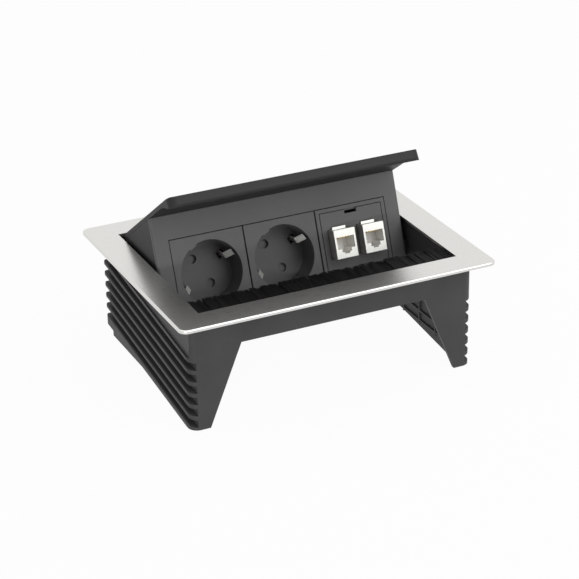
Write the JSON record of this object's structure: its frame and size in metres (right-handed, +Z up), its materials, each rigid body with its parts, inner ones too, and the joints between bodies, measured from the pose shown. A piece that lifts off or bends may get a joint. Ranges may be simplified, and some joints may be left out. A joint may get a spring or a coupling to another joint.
{
  "type": "in-desk power module",
  "caption": "Flush desk power module: a sprung unit with sockets and data jacks swivels up out of a steel-framed, finned housing with a cable brush.",
  "frame": {"origin": "centre of the desk cut-out, in the plane of the desk top (the bezel's underside)", "axes": "+X along the row of sockets to the right as seen from the front, +Y to the rear (hinge side), +Z up out of the desk"},
  "size_m": [0.203, 0.16, 0.1257],
  "materials": {
    "brushed_steel": "fine grain along the length, bright rounded edge",
    "bristle": "dense nylon bristles",
    "spring_steel": "bright, plated",
    "brass": "bare",
    "gold": "gold plated",
    "jack_metal": "plated zinc, bright",
    "jack_plastic": "light moulded plastic",
    "grey_lid": "fine grained moulding",
    "grey_panel": "fine grained moulding",
    "shutter_plastic": "smooth",
    "housing_plastic": "fine grained moulding",
    "black_plastic": "smooth"
  },
  "bodies": {
    "root": {"bezel_frame": "brushed_steel", "housing": "housing_plastic", "brush_holder": "housing_plastic", "brush_bristles": "bristle", "hinge_pin_left": "spring_steel", "hinge_pin_right": "spring_steel", "retaining_spring_left": "spring_steel", "retaining_spring_right": "spring_steel"},
    "swivel_unit": {"lid": "grey_lid", "front_panel": "grey_panel", "end_cap_left": "black_plastic", "end_cap_right": "black_plastic", "rear_cover": "black_plastic", "cover_screws": "spring_steel", "lift_spring_left": "spring_steel", "lift_spring_right": "spring_steel", "socket_insert_1": "grey_panel", "socket_insert_2": "grey_panel", "socket_base_1": "black_plastic", "socket_base_2": "black_plastic", "earth_clips_1": "spring_steel", "earth_clips_2": "spring_steel", "pin_sleeves_1": "brass", "pin_sleeves_2": "brass", "busbar_live": "brass", "busbar_neutral": "brass", "busbar_earth": "brass", "data_frame": "grey_panel", "data_plate": "grey_panel", "jack_shell_1": "jack_metal", "jack_shell_2": "jack_metal", "jack_insert_1": "jack_plastic", "jack_insert_2": "jack_plastic", "jack_contacts_1": "gold", "jack_contacts_2": "gold", "mains_inlet": "black_plastic", "inlet_pins": "brass"},
    "shutter_a": {"shutter_1": "shutter_plastic"},
    "shutter_b": {"shutter_2": "shutter_plastic"}
  },
  "joints": [
    {"name": "unit_tilt", "type": "hinge", "parent": "root", "child": "swivel_unit", "pos_m": [0, 0.0572, -0.0033], "axis": [1, 0, 0], "range_deg": [0, 35], "stiffness_Nm_per_rad": 0.3, "springref_deg": -57.3},
    {"name": "shutter_a_turn", "type": "hinge", "parent": "swivel_unit", "child": "shutter_a", "pos_m": [-0.048, 0.00002, -0.00571], "axis": [0, -0.9397, 0.342], "range_deg": [0, 38], "stiffness_Nm_per_rad": 0.002, "springref_deg": -28.65},
    {"name": "shutter_b_turn", "type": "hinge", "parent": "swivel_unit", "child": "shutter_b", "pos_m": [0, 0.00002, -0.00571], "axis": [0, -0.9397, 0.342], "range_deg": [0, 38], "stiffness_Nm_per_rad": 0.002, "springref_deg": -28.65}
  ]
}
